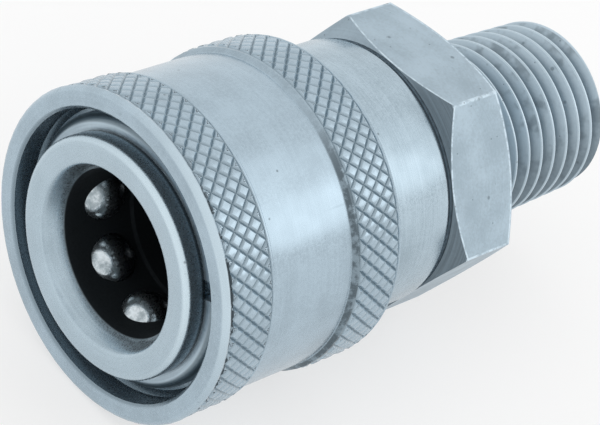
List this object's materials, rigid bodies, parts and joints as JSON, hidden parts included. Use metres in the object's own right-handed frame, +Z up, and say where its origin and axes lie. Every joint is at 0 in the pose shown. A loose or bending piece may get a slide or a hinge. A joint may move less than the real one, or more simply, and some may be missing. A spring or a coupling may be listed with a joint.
{
  "type": "ball-lock quick coupling socket",
  "caption": "Steel quick coupling with a spring-loaded knurled sleeve that frees locking balls in its socket, a spanner hexagon and a tapered male pipe thread.",
  "frame": {"origin": "centre of the hexagon's rear face, on the coupling's axis, where the male thread starts", "axes": "+X along the coupling's axis, from the nose to the end of the male thread; +Z up, square to a pair of the hexagon's flats; +Y completes a right-handed set"},
  "size_m": [0.0428, 0.023, 0.023],
  "materials": {
    "body_steel": "turned, satin",
    "adapter_steel": "drawn bar flats, turned thread",
    "sleeve_steel": "satin with knurled bands",
    "ball_steel": "ground and polished",
    "ring_steel": "bright wire",
    "spring_steel": "bright wire",
    "seal_rubber": "smooth, matt",
    "washer_plastic": "smooth, matt"
  },
  "bodies": {
    "fitting": {"socket_body": "body_steel", "end_adapter": "adapter_steel", "joint_washer": "washer_plastic", "plug_seal": "seal_rubber", "snap_ring": "ring_steel"},
    "spring": {"return_spring": "spring_steel"},
    "sleeve": {"sleeve": "sleeve_steel"},
    "ball_1": {"lock_ball_1": "ball_steel"},
    "ball_2": {"lock_ball_2": "ball_steel"},
    "ball_3": {"lock_ball_3": "ball_steel"},
    "ball_4": {"lock_ball_4": "ball_steel"},
    "ball_5": {"lock_ball_5": "ball_steel"},
    "ball_6": {"lock_ball_6": "ball_steel"},
    "ball_7": {"lock_ball_7": "ball_steel"},
    "ball_8": {"lock_ball_8": "ball_steel"}
  },
  "joints": [
    {"name": "sleeve_slide", "type": "slide", "parent": "fitting", "child": "spring", "axis": [1, 0, 0], "range_m": [0, 0.005], "stiffness_N_per_m": 2500, "springref_m": -0.004, "deforming": ["return_spring"]},
    {"name": "sleeve_spin", "type": "hinge", "parent": "spring", "child": "sleeve", "pos_m": [-0.0206, 0, 0], "axis": [1, 0, 0], "continuous": true},
    {"name": "ball_1_lift", "type": "slide", "parent": "fitting", "child": "ball_1", "axis": [0, 0.9928, -0.1201], "range_m": [0, 0.001]},
    {"name": "ball_2_lift", "type": "slide", "parent": "fitting", "child": "ball_2", "axis": [0, 0.7869, 0.617], "range_m": [0, 0.001]},
    {"name": "ball_3_lift", "type": "slide", "parent": "fitting", "child": "ball_3", "axis": [0, 0.1201, 0.9928], "range_m": [0, 0.001]},
    {"name": "ball_4_lift", "type": "slide", "parent": "fitting", "child": "ball_4", "axis": [0, -0.617, 0.7869], "range_m": [0, 0.001]},
    {"name": "ball_5_lift", "type": "slide", "parent": "fitting", "child": "ball_5", "axis": [0, -0.9928, 0.1201], "range_m": [0, 0.001]},
    {"name": "ball_6_lift", "type": "slide", "parent": "fitting", "child": "ball_6", "axis": [0, -0.7869, -0.617], "range_m": [0, 0.001]},
    {"name": "ball_7_lift", "type": "slide", "parent": "fitting", "child": "ball_7", "axis": [0, -0.1201, -0.9928], "range_m": [0, 0.001]},
    {"name": "ball_8_lift", "type": "slide", "parent": "fitting", "child": "ball_8", "axis": [0, 0.617, -0.7869], "range_m": [0, 0.001]}
  ],
  "couplings": [
    {"joint": "ball_1_lift", "follows": "sleeve_slide", "ratio": 0.2},
    {"joint": "ball_2_lift", "follows": "sleeve_slide", "ratio": 0.2},
    {"joint": "ball_3_lift", "follows": "sleeve_slide", "ratio": 0.2},
    {"joint": "ball_4_lift", "follows": "sleeve_slide", "ratio": 0.2},
    {"joint": "ball_5_lift", "follows": "sleeve_slide", "ratio": 0.2},
    {"joint": "ball_6_lift", "follows": "sleeve_slide", "ratio": 0.2},
    {"joint": "ball_7_lift", "follows": "sleeve_slide", "ratio": 0.2},
    {"joint": "ball_8_lift", "follows": "sleeve_slide", "ratio": 0.2}
  ]
}
